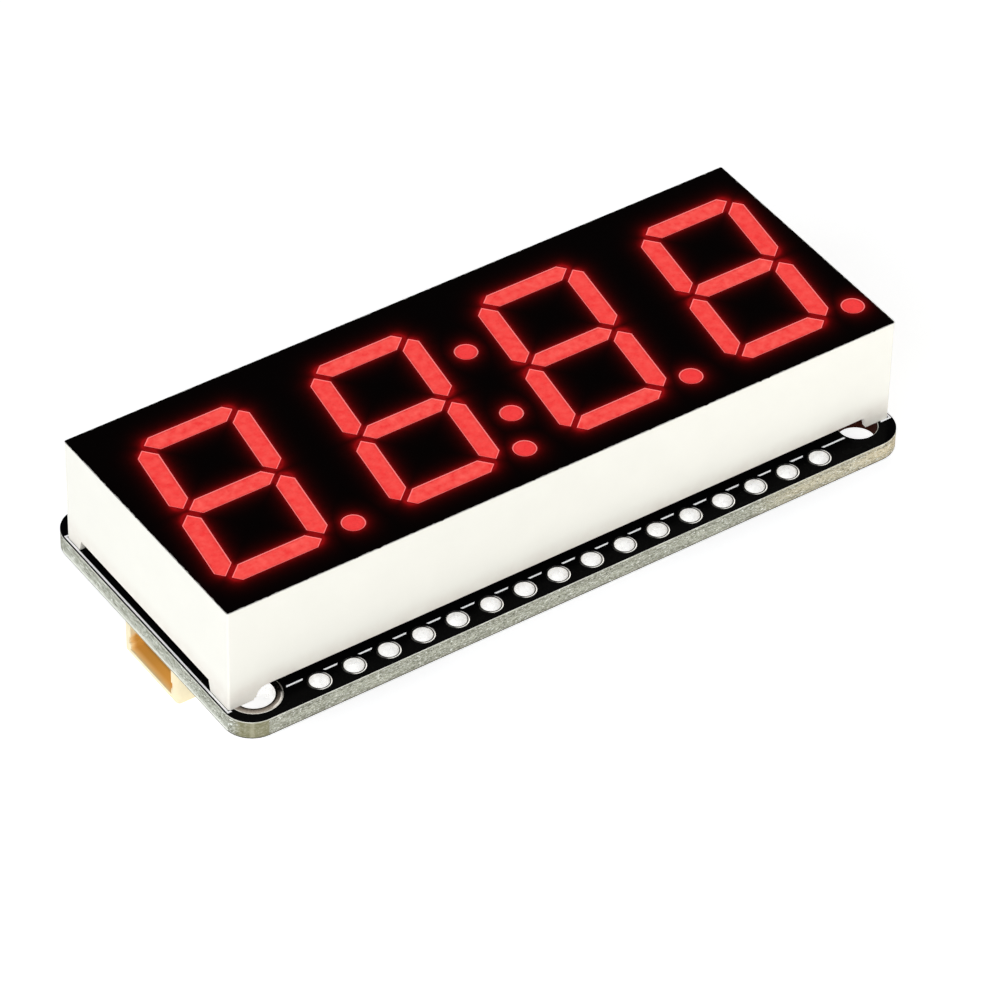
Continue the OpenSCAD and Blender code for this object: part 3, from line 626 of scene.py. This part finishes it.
def rounded(piece, name, width, segments, limit):
    """Gives a piece a bevel so many millimetres wide, on the edges that the limit picks."""
    bevel = piece.modifiers.new(name, "BEVEL")
    bevel.width = width * MM
    bevel.segments = segments
    bevel.limit_method = limit
    return bevel


def softened(node, slot_name, width):
    """A copy of a CAD node with rounded edges, shown in its place."""
    form = bmesh.new()
    form.from_mesh(frame["nodes"][node].data)
    bmesh.ops.remove_doubles(form, verts=form.verts, dist=SAME_POINT * MM)
    bmesh.ops.dissolve_limit(form, angle_limit=math.radians(1), verts=form.verts, edges=form.edges)
    for face in form.faces:
        face.smooth = True
    has_corners = node == "connector_shell"
    if has_corners:
        mark_corners(form, *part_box(node))
    mesh = bpy.data.meshes.new(node + "_soft")
    form.to_mesh(mesh)
    form.free()
    mesh.materials.append(MATERIALS[slot_name])
    piece = bpy.data.objects.new(node + "_soft", mesh)
    bpy.context.scene.collection.objects.link(piece)
    if has_corners:
        rounded(piece, "corners", SHELL_CORNER, 4, "WEIGHT")
    edges = rounded(piece, "edges", width, 3, "ANGLE")
    edges.angle_limit = math.radians(60 if has_corners else 20)
    edges.harden_normals = True
    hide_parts(node)
    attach(piece, "root")


def dress_nodes():
    """Gives every CAD node the finish of its material slot, or a softened copy that has it."""
    for row in frame["record"]["subparts"]:
        node, slot_name = row["node"], row["material_slot"]
        mesh = frame["nodes"][node].data
        mesh.materials.clear()
        mesh.materials.append(MATERIALS[slot_name])
        if node in SOFT_EDGES:
            softened(node, slot_name, SOFT_EDGES[node])


def add_floor():
    """A pale light table: it glows as well as it reflects, and is open to a view from below."""
    half = FLOOR_HALF * MM
    mesh = bpy.data.meshes.new("floor")
    mesh.from_pydata([(-half, -half, 0), (half, -half, 0), (half, half, 0), (-half, half, 0)],
                     [], [(0, 1, 2, 3)])
    floor = bpy.data.objects.new("floor", mesh)
    bpy.context.scene.collection.objects.link(floor)
    g = Graph("floor")
    g.finish(Base_Color=(FLOOR_TONE, FLOOR_TONE, FLOOR_TONE, 1.0), Roughness=0.9,
             Specular_IOR_Level=0.0, Emission_Color=(1.0, 1.0, 1.0, 1.0),
             Emission_Strength=FLOOR_GLOW)
    below = g.add("NewGeometry", {}, "Backfacing")
    clear = g.add("BsdfTransparent", {})
    either = g.add("MixShader", {0: below, 1: g.shader.outputs[0], 2: clear})
    g.put(g.tree.nodes["Material Output"].inputs["Surface"], either)
    mesh.materials.append(g.material)


def direction(azimuth, elevation):
    """Direction so many degrees to the right of the part's front, and so many degrees up."""
    across, up = math.radians(azimuth), math.radians(elevation)
    return Vector((math.sin(across) * math.cos(up), -math.cos(across) * math.cos(up),
                   math.sin(up)))


def add_light(name, azimuth, elevation, size, power, colour):
    """Square softbox that looks at the part."""
    back = direction(azimuth, elevation)
    lamp = bpy.data.lights.new(name, "AREA")
    lamp.shape = "SQUARE"
    lamp.size = size * MM
    lamp.energy = power
    lamp.color = colour
    light = bpy.data.objects.new(name, lamp)
    light.location = back * LIGHT_AWAY * MM
    light.rotation_mode = "QUATERNION"
    light.rotation_quaternion = (-back).to_track_quat("-Z", "Y")
    bpy.context.scene.collection.objects.link(light)


def add_world():
    """Studio: bright round the horizon and dark overhead, so that black stays black."""
    world = bpy.data.worlds.new("studio")
    world.use_nodes = True
    tree = world.node_tree
    spot = tree.nodes.new("ShaderNodeTexCoord")
    split = tree.nodes.new("ShaderNodeSeparateXYZ")
    ramp = tree.nodes.new("ShaderNodeValToRGB")
    tree.links.new(spot.outputs["Generated"], split.inputs[0])
    tree.links.new(split.outputs["Z"], ramp.inputs[0])
    horizon, overhead = ramp.color_ramp.elements
    horizon.position = HORIZON_HEIGHT
    horizon.color = (HORIZON_TONE, HORIZON_TONE, HORIZON_TONE, 1.0)
    overhead.position = OVERHEAD_HEIGHT
    overhead.color = (OVERHEAD_TONE, OVERHEAD_TONE, OVERHEAD_TONE, 1.0)
    background = tree.nodes["Background"]
    tree.links.new(ramp.outputs[0], background.inputs[0])
    background.inputs[1].default_value = SKY_POWER
    bpy.context.scene.world = world


def add_camera():
    """Camera at the photograph's viewing angle."""
    back = direction(CAMERA_AZIMUTH, CAMERA_ELEVATION)
    data = bpy.data.cameras.new("camera")
    data.sensor_fit = "AUTO"
    data.sensor_width = CAMERA_SENSOR
    data.lens = CAMERA_LENS
    data.clip_start = CAMERA_NEAREST * MM
    data.clip_end = CAMERA_FARTHEST * MM
    camera = bpy.data.objects.new("camera", data)
    roll = Matrix.Rotation(math.radians(CAMERA_ROLL), 3, "Z")
    turn = (-back).to_track_quat("-Z", "Y").to_matrix() @ roll
    place = (CAMERA_AIM + back * CAMERA_AWAY) * MM
    camera.matrix_world = Matrix.Translation(place) @ turn.to_4x4()
    bpy.context.scene.collection.objects.link(camera)
    bpy.context.scene.camera = camera


dress_nodes()
add_floor()
add_world()
add_light("key", azimuth=-62, elevation=30, size=500, power=2.3, colour=(0.93, 0.98, 1.05))
add_light("fill", azimuth=15, elevation=28, size=600, power=0.9, colour=(1.0, 0.98, 0.93))
add_camera()
bpy.context.scene.view_settings.view_transform = "Standard"
